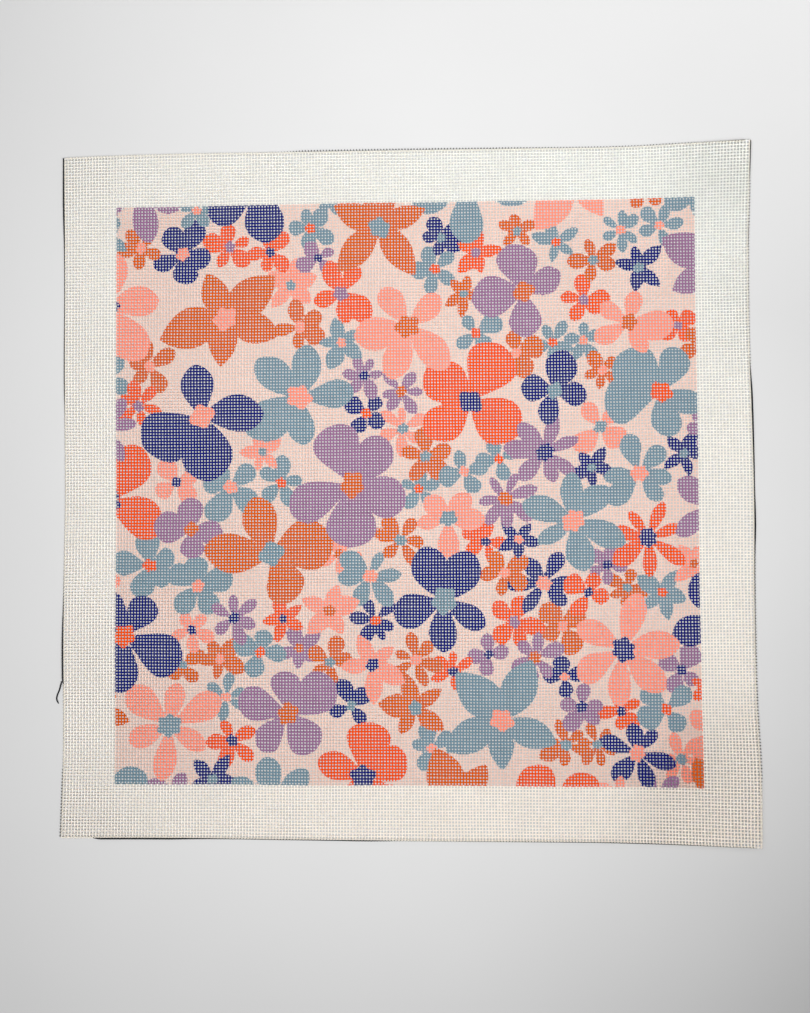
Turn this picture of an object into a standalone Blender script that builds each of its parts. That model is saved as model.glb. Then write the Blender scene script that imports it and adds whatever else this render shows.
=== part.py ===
"""Needlepoint canvas panel: a square of stiff open-weave canvas with overlocked edges.

The panel lies flat on its back, print side up, with its corners a little raised.
X runs to the right of the print, Y to its top and Z up. The origin is the middle of the
panel's box, at the surface that it lies on.
"""
import math

import bmesh
import bpy
from mathutils import Vector

MM = 0.001
PANEL_NAME = "needlepoint_canvas_panel"

# The canvas, counted in meshes of one thread and one hole, twelve to the inch
MESH_PITCH = 25.4 * MM / 12
MESHES_ACROSS = 225
HALF_SIDE = MESHES_ACROSS * MESH_PITCH / 2
CANVAS_THICKNESS = 1.2 * MM

# The overlock stitching that binds each cut edge, outside the last canvas thread
OVERLOCK_WIDTH = 1.3 * MM
OVERLOCK_THICKNESS = 1.5 * MM
OVERLOCK_ROUNDING = 0.4 * MM
SEAM_GAP = 0.3 * MM

# The loose end of the overlock thread at the left edge, which lies on the surface
TAIL_DIAMETER = 0.7 * MM
TAIL_STEPS = 12

# Facets along each side of the panel
FACETS_ALONG = 28

# Colours of the finishes, in linear light
CANVAS_CREAM = (0.83, 0.73, 0.64)
OVERLOCK_NAVY = (0.030, 0.036, 0.055)

# How far each edge lies outside a straight-sided square of the panel's size.
# Columns: place along the edge from -1 to 1 (left to right, or bottom to top), and mm outwards.
EDGE_BOWS = {
    "left": (
        (-1.0, 1.1), (-0.85, 0.1), (-0.7, -0.4), (-0.4, 0.4),
        (0.0, -0.6), (0.35, 0.6), (0.6, 0.75), (1.0, 1.6),
    ),
    "right": (
        (-1.0, 1.3), (-0.8, 2.0), (-0.6, 0.7), (-0.3, 0.6), (0.0, 1.3),
        (0.25, 0.4), (0.5, -0.8), (0.8, 0.35), (1.0, 2.0),
    ),
    "bottom": (
        (-1.0, 1.1), (-0.8, 0.75), (-0.6, 0.65), (-0.35, 1.1), (0.0, 1.4),
        (0.35, 1.4), (0.6, 1.4), (0.8, 1.8), (1.0, 3.1),
    ),
    "top": (
        (-1.0, -0.2), (-0.75, 1.1), (-0.4, 1.1), (0.0, 0.8),
        (0.4, 0.2), (0.62, 0.0), (0.8, 1.1), (1.0, 2.6),
    ),
}

# Where the canvas stands off the surface.
# Columns: x and y as shares of the half side, height in mm, and reach in mm.
RAISED_SPOTS = (
    (1.0, -1.0, 4.0, 115.0),
    (1.0, 1.0, 1.6, 80.0),
    (-1.0, 1.0, 0.5, 60.0),
    (-1.0, -1.0, 0.4, 60.0),
    (1.0, 0.5, 0.6, 55.0),
)

# The route of the loose end.
# Columns: mm outwards from the left edge, mm up the panel from its middle, mm above the surface.
TAIL_ROUTE = (
    (0.0, -131.0, 0.85),
    (0.9, -133.6, 0.62),
    (1.9, -136.8, 0.38),
    (3.4, -140.4, 0.36),
    (3.9, -143.4, 0.36),
    (2.6, -146.4, 0.36),
)


def smooth_value(rows, at):
    """Read column two of the rows at a value of column one, on a smooth curve through them."""
    last = len(rows) - 2
    k = 0
    while k < last and at > rows[k + 1][0]:
        k += 1
    before = rows[max(k - 1, 0)]
    start = rows[k]
    end = rows[k + 1]
    after = rows[min(k + 2, last + 1)]
    span = end[0] - start[0]
    t = (at - start[0]) / span
    start_slope = (end[1] - before[1]) / (end[0] - before[0]) * span
    end_slope = (after[1] - start[1]) / (after[0] - start[0]) * span
    return ((2 * t ** 3 - 3 * t ** 2 + 1) * start[1] + (t ** 3 - 2 * t ** 2 + t) * start_slope
            + (3 * t ** 2 - 2 * t ** 3) * end[1] + (t ** 3 - t ** 2) * end_slope)


def bow(side, along):
    """The distance of an edge outside the plain square, at a place along it from -1 to 1."""
    return smooth_value(EDGE_BOWS[side], along) * MM


def greatest_bow(side):
    """The largest distance of an edge outside the plain square."""
    return max(outward for _, outward in EDGE_BOWS[side]) * MM


def route_value(column, at):
    """One column of the loose end's route, in metres, at a count of rows from its start."""
    rows = [(k, row[column]) for k, row in enumerate(TAIL_ROUTE)]
    return smooth_value(rows, at) * MM


def tail_points():
    """Points along the loose end, from the square's middle, on a smooth curve through its route."""
    last = len(TAIL_ROUTE) - 1
    points = []
    for step in range(TAIL_STEPS + 1):
        at = last * step / TAIL_STEPS
        outward, up, height = (route_value(column, at) for column in range(3))
        edge = HALF_SIDE + bow("left", up / HALF_SIDE)
        points.append(Vector((-edge - SEAM_GAP - TAIL_DIAMETER / 2 - outward, up, height)))
    return points


def panel_middle():
    """The middle of the plain square, placed so that the panel's box is centred on the origin."""
    left_reach = TAIL_DIAMETER / 2 - min(point.x for point in tail_points())
    right_reach = HALF_SIDE + greatest_bow("right")
    x = (left_reach - right_reach) / 2
    y = (greatest_bow("bottom") - greatest_bow("top")) / 2
    return Vector((x, y, 0.0))


def raised(x, y):
    """Height of the panel's back over the surface, at a place measured from the square's middle."""
    height = 0.0
    for spot_x, spot_y, top, reach in RAISED_SPOTS:
        distance = math.hypot(x - spot_x * HALF_SIDE, y - spot_y * HALF_SIDE)
        near = max(0.0, 1.0 - distance / (reach * MM))
        height += top * MM * near * near * (3.0 - 2.0 * near)
    return height


def bowed_point(u, v, inset=0.0):
    """Place u, v of the plain square, each from -1 to 1, moved so that its edges follow the bows."""
    left = -HALF_SIDE - bow("left", v) + inset
    right = HALF_SIDE + bow("right", v) - inset
    bottom = -HALF_SIDE - bow("bottom", u) + inset
    top = HALF_SIDE + bow("top", u) - inset
    x = left + (right - left) * (u + 1.0) / 2.0
    y = bottom + (top - bottom) * (v + 1.0) / 2.0
    return x, y


def canvas_point(u, v):
    """A place on the canvas, which stops a seam's gap short of the overlock stitching."""
    return bowed_point(u, v, OVERLOCK_WIDTH + SEAM_GAP)


def side_strip_point(side, along, across):
    """A place on the left or right overlock strip, which runs the panel's whole height."""
    sign = -1.0 if side == "left" else 1.0
    x, y = bowed_point(sign, along)
    inward = (1.0 - sign * across) / 2.0
    return x - sign * OVERLOCK_WIDTH * inward, y


def end_strip_point(side, along, across):
    """A place on the top or bottom overlock strip, which fits between the side strips."""
    sign = -1.0 if side == "bottom" else 1.0
    x, y = bowed_point(along, sign)
    shortened = x - along * (OVERLOCK_WIDTH + SEAM_GAP)
    inward = (1.0 - sign * across) / 2.0
    return shortened, y - sign * OVERLOCK_WIDTH * inward


def thread_material(name, colour, roughness):
    """A matt cotton finish in one colour."""
    material = bpy.data.materials.new(name)
    material.use_nodes = True
    shader = material.node_tree.nodes["Principled BSDF"]
    shader.inputs["Base Color"].default_value = (*colour, 1.0)
    shader.inputs["Roughness"].default_value = roughness
    shader.inputs["Metallic"].default_value = 0.0
    material.diffuse_color = (*colour, 1.0)
    return material


def sheet_object(name, columns, rows, place, thickness, material, collection):
    """A flat grid bent to its outline and its raised spots, and thickened down to its back."""
    mesh = bpy.data.meshes.new(name)
    shape = bmesh.new()
    bmesh.ops.create_grid(shape, x_segments=columns, y_segments=rows, size=1.0)
    middle = panel_middle()
    for vertex in shape.verts:
        x, y = place(vertex.co.x, vertex.co.y)
        vertex.co = middle + Vector((x, y, thickness + raised(x, y)))
    shape.to_mesh(mesh)
    shape.free()
    mesh.materials.append(material)
    sheet = bpy.data.objects.new(name, mesh)
    collection.objects.link(sheet)
    thicken = sheet.modifiers.new("thickness", "SOLIDIFY")
    thicken.thickness = thickness
    thicken.offset = -1.0
    return sheet


def make_canvas(collection):
    """The woven canvas: one even sheet of the outline in which it lies."""
    material = thread_material("sized cotton mono canvas", CANVAS_CREAM, 0.85)
    return sheet_object("canvas", FACETS_ALONG, FACETS_ALONG, canvas_point, CANVAS_THICKNESS,
                        material, collection)


def make_overlock(side, collection):
    """The overlock stitching of one edge: a flat rounded strip along the rim."""
    material = thread_material("overlock thread " + side, OVERLOCK_NAVY, 0.6)

    def place(u, v):
        if side in ("left", "right"):
            return side_strip_point(side, v, u)
        return end_strip_point(side, u, v)

    columns = 1 if side in ("left", "right") else FACETS_ALONG
    rows = FACETS_ALONG if side in ("left", "right") else 1
    strip = sheet_object("overlock_" + side, columns, rows, place, OVERLOCK_THICKNESS,
                         material, collection)
    rounding = strip.modifiers.new("rounding", "BEVEL")
    rounding.width = OVERLOCK_ROUNDING
    rounding.segments = 2
    rounding.limit_method = "ANGLE"
    rounding.angle_limit = math.radians(50.0)
    return strip


def make_tail(collection):
    """The loose end of the overlock thread, a short limp length that lies on the surface."""
    curve = bpy.data.curves.new("thread_tail", "CURVE")
    curve.dimensions = "3D"
    curve.bevel_depth = TAIL_DIAMETER / 2
    curve.bevel_resolution = 2
    curve.use_fill_caps = True
    middle = panel_middle()
    points = [middle + point for point in tail_points()]
    spline = curve.splines.new("POLY")
    spline.points.add(len(points) - 1)
    for spot, place in zip(spline.points, points):
        spot.co = (*place, 1.0)
    curve.materials.append(thread_material("loose overlock thread", OVERLOCK_NAVY, 0.6))
    tail = bpy.data.objects.new("thread_tail", curve)
    collection.objects.link(tail)
    return tail


def clear_scene():
    """Remove what the file opens with."""
    for item in list(bpy.data.objects):
        bpy.data.objects.remove(item, do_unlink=True)


def main():
    clear_scene()
    collection = bpy.data.collections.new(PANEL_NAME)
    bpy.context.scene.collection.children.link(collection)
    make_canvas(collection)
    for side in EDGE_BOWS:
        make_overlock(side, collection)
    make_tail(collection)


main()
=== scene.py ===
"""Needlepoint canvas panel: the looks of a printed square of mono canvas.

The canvas is woven here thread by thread, over and under. Its print is drawn from plain flower
shapes and laid on the threads, and each cut edge is bound with overlock stitches.
"""
import math
import random

import bmesh
import bpy
import numpy as np
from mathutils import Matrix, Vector


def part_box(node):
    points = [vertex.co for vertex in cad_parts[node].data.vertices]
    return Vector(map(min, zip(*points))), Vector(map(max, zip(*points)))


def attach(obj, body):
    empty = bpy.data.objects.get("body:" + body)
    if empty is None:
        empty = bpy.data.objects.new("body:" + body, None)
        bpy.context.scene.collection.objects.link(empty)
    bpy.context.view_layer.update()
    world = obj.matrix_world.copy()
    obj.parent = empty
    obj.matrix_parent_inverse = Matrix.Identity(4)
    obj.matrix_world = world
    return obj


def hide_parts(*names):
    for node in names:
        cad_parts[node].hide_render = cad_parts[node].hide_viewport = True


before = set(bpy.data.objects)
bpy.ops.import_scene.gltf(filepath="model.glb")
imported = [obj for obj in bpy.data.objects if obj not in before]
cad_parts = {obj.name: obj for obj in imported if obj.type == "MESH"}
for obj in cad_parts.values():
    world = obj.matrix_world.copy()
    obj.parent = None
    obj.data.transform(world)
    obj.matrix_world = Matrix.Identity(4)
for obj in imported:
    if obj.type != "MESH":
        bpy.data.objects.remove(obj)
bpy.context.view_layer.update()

bl_info = {
    "name": "Needlepoint canvas panel",
    "version": (1, 0, 0),
    "blender": (4, 5, 0),
    "location": "3D View > Sidebar > Needlepoint",
    "description": "Weaves a printed needlepoint canvas with overlocked edges",
    "category": "Add Mesh",
}

MM = 0.001
INCH = 25.4 * MM
BODY = "root"
CANVAS_SLOT = "mono_canvas"
OVERLOCK_SLOT = "overlock_thread"
SIDES = ("left", "right", "bottom", "top")

# How far each edge lies outside a straight-sided square of the panel's size.
# Columns: place along the edge from -1 to 1 (left to right, or bottom to top), and mm outwards.
EDGE_BOWS = {
    "left": (
        (-1.0, 1.1), (-0.85, 0.1), (-0.7, -0.4), (-0.4, 0.4),
        (0.0, -0.6), (0.35, 0.6), (0.6, 0.75), (1.0, 1.6),
    ),
    "right": (
        (-1.0, 1.3), (-0.8, 2.0), (-0.6, 0.7), (-0.3, 0.6), (0.0, 1.3),
        (0.25, 0.4), (0.5, -0.8), (0.8, 0.35), (1.0, 2.0),
    ),
    "bottom": (
        (-1.0, 1.1), (-0.8, 0.75), (-0.6, 0.65), (-0.35, 1.1), (0.0, 1.4),
        (0.35, 1.4), (0.6, 1.4), (0.8, 1.8), (1.0, 3.1),
    ),
    "top": (
        (-1.0, -0.2), (-0.75, 1.1), (-0.4, 1.1), (0.0, 0.8),
        (0.4, 0.2), (0.62, 0.0), (0.8, 1.1), (1.0, 2.6),
    ),
}

# The bows fade into the cloth with this power of the place between the middle and the edge
BOW_FADE = 6

# Where the canvas stands off the surface.
# Columns: x and y as shares of the half side, height in mm, and reach in mm.
RAISED_SPOTS = (
    (1.0, -1.0, 4.0, 115.0),
    (1.0, 1.0, 1.6, 80.0),
    (-1.0, 1.0, 0.5, 60.0),
    (-1.0, -1.0, 0.4, 60.0),
    (1.0, 0.5, 0.6, 55.0),
)

# The route of the loose end of the overlock thread.
# Columns: mm outwards from the left edge, mm up the panel from its middle, mm above the surface.
TAIL_ROUTE = (
    (0.0, -131.0, 0.85),
    (0.9, -133.6, 0.62),
    (1.9, -136.8, 0.38),
    (3.4, -140.4, 0.36),
    (3.9, -143.4, 0.36),
    (2.6, -146.4, 0.36),
)

# How the dark looper thread shows along each rim, from -1 to 1.
# Columns: place along the edge, how far the cord of it lies on top (0 to 1), and how far each
# loop's head reaches over the rim (0 to 1).
LOOPER_SHOWS = {
    "left": (
        (-1.0, 0.0, 0.85), (-0.81, 0.0, 0.7), (-0.78, 0.0, 0.1), (-0.57, 0.0, 0.1),
        (-0.54, 1.0, 0.6), (-0.42, 0.9, 0.5), (-0.35, 0.6, 0.45), (-0.27, 0.35, 0.4),
        (-0.13, 0.05, 0.2), (0.05, 0.05, 0.2), (0.18, 0.2, 0.35), (0.31, 0.55, 0.45),
        (0.58, 0.5, 0.45), (0.72, 0.6, 0.5), (0.84, 1.0, 0.6), (1.0, 0.8, 0.6),
    ),
    "right": (
        (-1.0, 0.0, 0.1), (-0.86, 0.0, 0.2), (-0.80, 0.1, 0.8), (-0.6, 0.2, 0.9),
        (-0.41, 0.4, 0.8), (-0.3, 0.5, 0.7), (-0.2, 0.55, 0.65), (-0.1, 1.0, 0.6),
        (0.0, 0.65, 0.6), (0.07, 0.75, 0.5), (0.27, 1.0, 0.6), (0.36, 0.4, 0.6),
        (0.46, 0.0, 0.6), (0.655, 0.1, 0.7), (0.72, 0.4, 0.7), (0.84, 0.1, 0.8),
        (0.92, 0.5, 0.6), (1.0, 0.6, 0.5),
    ),
    "bottom": (
        (-1.0, 0.0, 0.0), (-0.92, 0.0, 0.1), (-0.88, 1.0, 0.6), (-0.69, 1.0, 0.6),
        (-0.57, 0.6, 0.5), (-0.46, 0.48, 0.45), (-0.23, 0.55, 0.45), (-0.11, 0.65, 0.5),
        (0.0, 0.34, 0.5), (0.12, 0.34, 0.5), (0.31, 0.42, 0.45), (0.47, 0.47, 0.45),
        (0.71, 0.5, 0.45), (1.0, 0.33, 0.4),
    ),
    "top": (
        (-1.0, 0.1, 0.1), (-0.5, 0.1, 0.2), (-0.35, 0.1, 0.5), (-0.28, 0.1, 1.0),
        (0.2, 0.1, 0.95), (0.47, 0.1, 0.7), (0.8, 0.1, 0.65), (0.9, 0.3, 0.45),
        (1.0, 0.5, 0.4),
    ),
}

# Half the floor's side in metres, so far that its edge lies at the horizon of each view
FLOOR_HALF = 30.0

# Three round soft boxes over the panel, placed so that the floor is brightest beyond its top.
# Columns: name, power in watts, place in metres, and direction.
SOFT_LIGHTS = (
    ("top", 4.02, (-0.136, 0.279, 0.75), (1.5, 0.906, -1.0)),
    ("middle", 9.35, (0.119, -0.215, 0.75), (-1.5, 1.336, -1.0)),
    ("right", 30.4, (1.108, 0.365, 0.751), (0.453, 1.5, -1.0)),
)
SOFT_LIGHT_SIZE = 0.6

# The camera nearly faces the cloth: its place in metres, its turn in degrees, and its sensor in mm
CAMERA_PLACE = (22.92 * MM, -26.55 * MM, 593.4 * MM)
CAMERA_TURN = (1.565, 2.006, -0.28)
SENSOR_WIDTH = 36.0

# How the threads drift from an even count: the number of waves, the ranges of their lengths and
# heights in meshes, and how far the drift up the cloth is out of step with the one across it
DRIFT_WAVES = 7
DRIFT_LENGTHS = (26.0, 110.0)
DRIFT_HEIGHTS = (0.02, 0.05)
DRIFT_PACE = 0.9
DRIFT_LAG = 1.0

# Each thread, in meshes: how far it ends short of the rim, how far it wanders aside, the ranges of
# its waves' pace and start, and how far in from the rims the cloth drifts and wanders in full
END_TRIM = 0.12
WANDER = 0.03
WANDER_PACES = (0.05, 0.25)
WANDER_STARTS = (0, 9)
EDGE_EASE = 6.0

# The threads' widths as shares of the even one, the groups they are woven in, and their sides
THREAD_WIDTHS = (0.94, 1.06)
THREAD_GROUPS = 3
THREAD_SIDES = 4

# Where a thread's ink is read: places along each stretch, and meshes aside of its middle
INK_PLACES = 8
INK_ASIDE = 0.13

# What each face of a thread keeps: the ink that it starts with, the one that it ends with, the
# share of its length at which they change, and how fully the ink covers it
INK_MARKS = ("ink_before", "ink_after", "ink_change", "ink_depth")

# The square map for baking: where each strip of thread starts and how long it is, how much of the
# strip's width its faces fill and from where, and the corner that the threads' ends share
BAKE_START = 0.01
BAKE_LENGTH = 0.97
BAKE_SIDE = 0.05
BAKE_WIDTH = 0.9
BAKE_ENDS = (0.99, 0.99, 0.992, 0.99, 0.992, 0.992, 0.99, 0.992)

# How much farther in from the rim the cord lies where it is hidden under the last thread, how far
# in or out the dark loops' heads reach, first hidden ones and then those that show in full, and
# how far the cord sways with each stitch
HIDDEN_DEPTH = 0.9 * MM
HIDDEN_HEAD = 0.85 * MM
SHOWN_HEAD = -0.15 * MM
CORD_SWAY = 0.08 * MM

# Points to the stitch, sides of the loops and of the cord, and the power of a loop's wave that
# draws its head together
STITCH_POINTS = 6
LOOP_SIDES = 4
CORD_SIDES = 6
HEAD_POWER = 3

# The cream loops stand this share of their radius over the face, and dip at the rim by this share
# of the cloth. The dark loops start at this share of the stitch depth. Their heads lie at this
# share of the cloth, and rise where they show by these shares of it and of their own radius.
CREAM_LIFT = 0.8
CREAM_DIP = 0.55
DARK_START = 0.62
DARK_LEVEL = 0.1
DARK_RISE = 0.9
DARK_OVER = 0.75

# The cord's thickness where it is drawn tight under the cloth, as a share of what shows
TIGHT_CORD = 0.45

# The loose end: points and sides, its radius as a share of the dark thread's thickness, and the
# last steps of its route over which it thins, by this share a step
TAIL_POINTS = 61
TAIL_SIDES = 8
TAIL_RADIUS = 0.85
TAPER_STEPS = 0.5
TAPER_RATE = 0.8

# One turn of the plies of the overlock thread, and how they slant, in radians
PLY_TURN = 0.6 * MM
PLY_SLANT = (0.6, 0.4, 0.8)

# Twist ribs to the mesh of a canvas thread, the fineness of its hairs, how much they count beside
# the ribs, and the depth of the relief on every thread
TWIST_RIBS = 2.2
HAIR_SIZE = 0.35 * MM
HAIR_SHARE = 0.5
THREAD_RELIEF = 0.1 * MM

# The cream of the cloth, as shares of the way from the cool cream to the warm one: in the panel's
# middle, and the changes from there to its lower rim and to its lower right corner. The warm cream
# is also lighter, so this is partly the cloth's own tint and partly painted light that lightens the
# lower part and the lower right corner
TINT_AND_PAINTED_LIGHT_MIDDLE = 0.45
TINT_AND_PAINTED_LIGHT_DOWN = 0.36
TINT_AND_PAINTED_LIGHT_CORNER = 0.22

# Painted light: the cloth's tone in the panel's middle, and how much lighter it is painted at the
# right rim, standing in for the light on that side
PAINTED_LIGHT_MIDDLE = 1.01
PAINTED_LIGHT_RIGHT = 0.05

# Uneven tones. Columns: size of a patch in metres, detail, and the darkest and lightest share.
SLUBS = (3.5 * MM, 3.0, 0.94, 1.03)
STARCH = (45.0 * MM, 2.0, 0.97, 1.02)
CLOUDINESS = (1.0 / 6.0, 2.0, 0.985, 1.01)
DYE_PATCH = 2.2 * MM
DYE_DETAIL = 3.0
NOISE_RANGE = (0.3, 0.7)

# The colour sockets of a Mix node, by number, because their names serve its other types too
FIRST_COLOUR = 6
SECOND_COLOUR = 7
MIXED_COLOUR = 2

UP = np.array((0.0, 0.0, 1.0))

# The inks of the print, by number. Number 0 is bare canvas and 1 is the ground.
INK_NAMES = ("bare", "ground", "coral", "orange", "vermilion", "lilac", "blue_grey", "navy")
BARE, GROUND, CORAL, ORANGE, VERMILION, LILAC, BLUE_GREY, NAVY = range(len(INK_NAMES))

# How often each ink is used for a flower, and the inks that its middle may have
FLOWER_INKS = (
    (CORAL, 18, (NAVY, BLUE_GREY, ORANGE)),
    (ORANGE, 13, (BLUE_GREY, CORAL)),
    (VERMILION, 12, (NAVY, LILAC)),
    (LILAC, 19, (ORANGE, NAVY)),
    (BLUE_GREY, 24, (VERMILION, CORAL)),
    (NAVY, 14, (VERMILION, BLUE_GREY, CORAL)),
)

# Flower shapes. Columns: petals, petal half width as a share of its length, the share of its
# length at which it is widest, bluntness (lower is blunter), and middle as a share of the radius.
FLOWER_SHAPES = {
    "blossom": (5, 0.30, 0.64, 0.58, 0.21),
    "rose": (5, 0.35, 0.68, 0.52, 0.20),
    "dogwood": (4, 0.36, 0.64, 0.62, 0.20),
    "paddle": (6, 0.24, 0.66, 0.60, 0.22),
    "star": (5, 0.27, 0.50, 0.80, 0.19),
    "daisy": (7, 0.20, 0.66, 0.55, 0.23),
}

# Flower sizes, in the order in which they take their places, largest first.
# Columns: diameter in mm, how many, and the shapes in turn.
FLOWER_SIZES = (
    (74.0, 32, ("blossom", "paddle", "star", "rose", "dogwood")),
    (47.0, 24, ("paddle", "blossom", "star", "daisy", "dogwood", "rose")),
    (33.0, 90, ("blossom", "star", "paddle", "dogwood", "blossom")),
)
PLACES_TRIED = 60

# How flowers of one size differ, how far they may change places in the pile, and how far their
# middles may lie past the print's edge, all as shares of a flower's radius
SIZE_UNEVENNESS = 0.12
PILE_UNEVENNESS = 0.4
OVERHANG = 0.4

# How many inks are drawn for each flower, to take the one whose like is farthest away
INKS_DRAWN = 3

# How the flowers are eased apart: rounds, the share of an overlap that each round undoes, and
# the share of their radii at which two flowers stop touching
SPREAD_ROUNDS = 60
SPREAD_SHARE = 0.25
SPREAD_TOUCH = 0.92

# How the petals of one flower differ: in length and width, in heading, in where they are widest
# and in bend. The middle's rim has a lump for each petal and two wide ones.
PETAL_UNEVENNESS = 0.18
PETAL_STRAY = 0.17
WIDEST_STRAY = 0.05
PETAL_BEND = 0.10
PETAL_LUMPS = 0.13
WIDE_LUMPS = 0.08

# A flower is drawn on the part of the grid within this many of its radii
FLOWER_WINDOW = 1.25
INK_CELLS_PER_MESH = 10

# Colours in the sRGB hex form of paint and dye charts. The inks are in the order of their numbers.
CANVAS_COOL = "#eaeae3"
CANVAS_WARM = "#fdf0e4"
INK_HEX = ("#f4ece0", "#ebccbf", "#fb957e", "#d75c0a", "#f0520c", "#986d92", "#728e9c", "#101b70")


def linear_colour(hex_text):
    """An sRGB hex colour as linear red, green and blue."""
    channels = []
    for start in (1, 3, 5):
        level = int(hex_text[start:start + 2], 16) / 255.0
        channels.append(level / 12.92 if level <= 0.04045 else ((level + 0.055) / 1.055) ** 2.4)
    return tuple(channels)


def smooth_values(rows, at, column=1):
    """A column of the rows at values of column zero, on a smooth curve through them."""
    knots = np.array([row[0] for row in rows])
    levels = np.array([row[column] for row in rows])
    slopes = np.empty(len(rows))
    slopes[0] = (levels[1] - levels[0]) / (knots[1] - knots[0])
    slopes[-1] = (levels[-1] - levels[-2]) / (knots[-1] - knots[-2])
    slopes[1:-1] = (levels[2:] - levels[:-2]) / (knots[2:] - knots[:-2])
    k = np.clip(np.searchsorted(knots, at, side="right") - 1, 0, len(rows) - 2)
    span = knots[k + 1] - knots[k]
    t = (at - knots[k]) / span
    return ((2 * t ** 3 - 3 * t ** 2 + 1) * levels[k] + (t ** 3 - 2 * t ** 2 + t) * span * slopes[k]
            + (3 * t ** 2 - 2 * t ** 3) * levels[k + 1] + (t ** 3 - t ** 2) * span * slopes[k + 1])


class PanelShape:
    """The panel's lie: from places on the weave, counted in meshes, to places in metres."""

    def __init__(self, canvas):
        self.pitch = INCH / canvas.meshes_per_inch
        self.half_count = canvas.meshes_across / 2.0
        self.half_side = self.half_count * self.pitch
        right_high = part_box("overlock_right")[1]
        top_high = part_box("overlock_top")[1]
        right_bow = max(row[1] for row in EDGE_BOWS["right"]) * MM
        top_bow = max(row[1] for row in EDGE_BOWS["top"]) * MM
        self.middle = np.array((right_high[0] - self.half_side - right_bow,
                                top_high[1] - self.half_side - top_bow))

    def bow(self, side, along):
        """How far an edge lies outside the plain square, in metres."""
        return smooth_values(EDGE_BOWS[side], np.clip(along, -1.0, 1.0)) * MM

    def raised(self, x, y):
        """Height of the panel's back, at metres from the plain square's middle."""
        height = np.zeros(np.broadcast(x, y).shape)
        for spot_x, spot_y, top, reach in RAISED_SPOTS:
            distance = np.hypot(x - spot_x * self.half_side, y - spot_y * self.half_side)
            near = np.clip(1.0 - distance / (reach * MM), 0.0, 1.0)
            height += top * MM * near * near * (3.0 - 2.0 * near)
        return height

    def place(self, across, up):
        """x, y and the back's height, for a place counted in meshes from the panel's middle."""
        u = across / self.half_count
        v = up / self.half_count
        x = u * self.half_side + self.pull("left", "right", u, v)
        y = v * self.half_side + self.pull("bottom", "top", v, u)
        return x + self.middle[0], y + self.middle[1], self.raised(x, y)

    def pull(self, low_side, high_side, toward, along):
        """How far the bows of two facing edges shift the cloth, mostly close to those edges."""
        near_low = np.clip(-toward, 0.0, None) ** BOW_FADE
        near_high = np.clip(toward, 0.0, None) ** BOW_FADE
        return near_high * self.bow(high_side, along) - near_low * self.bow(low_side, along)

    def rim(self, side, along):
        """Points of one rim and their outward direction, for shares along it from -1 to 1."""
        ends = np.full(along.shape, self.half_count * (1.0 if side in ("right", "top") else -1.0))
        if side in ("left", "right"):
            x, y, z = self.place(ends, along * self.half_count)
        else:
            x, y, z = self.place(along * self.half_count, ends)
        points = np.stack([x, y, z], axis=-1)
        run = np.gradient(points[:, :2], axis=0)
        run /= np.linalg.norm(run, axis=1, keepdims=True)
        turn = 1.0 if side in ("right", "bottom") else -1.0
        outward = np.stack([run[:, 1] * turn, -run[:, 0] * turn, np.zeros(len(run))], axis=-1)
        return points, outward


def slack(rng, across, up):
    """Small drifts of the threads from an even count, in meshes, as waves over the whole cloth."""
    drift_across = np.zeros(np.broadcast(across, up).shape)
    drift_up = np.zeros(drift_across.shape)
    for _ in range(DRIFT_WAVES):
        length = rng.uniform(*DRIFT_LENGTHS)
        heading = rng.uniform(0.0, math.tau)
        start = rng.uniform(0.0, math.tau)
        phase = math.tau * (across * math.cos(heading) + up * math.sin(heading)) / length + start
        push = rng.uniform(*DRIFT_HEIGHTS)
        drift_across += push * np.sin(phase)
        drift_up += push * np.cos(phase * DRIFT_PACE + DRIFT_LAG)
    return drift_across, drift_up


def nearest_rim(x, y, flowers):
    """The distance from a place to the nearest flower's rim, less than zero within one."""
    gaps = [math.hypot(x - other[0], y - other[1]) - other[2] for other in flowers]
    return min(gaps, default=math.inf)


def petal_mask(x, y, heading, length, half_width, widest, bluntness, bend):
    """Where a petal covers: x and y from the flower's middle, its tip along the heading."""
    along = (x * math.cos(heading) + y * math.sin(heading)) / length
    aside = (y * math.cos(heading) - x * math.sin(heading)) / length
    inside = (along > 0.0) & (along < 1.0)
    stretch = math.log(0.5) / math.log(widest)
    profile = np.sin(math.pi * np.clip(along, 0.0, 1.0) ** stretch) ** bluntness
    return inside & (np.abs(aside - bend * along ** 2) < half_width * profile)


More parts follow.
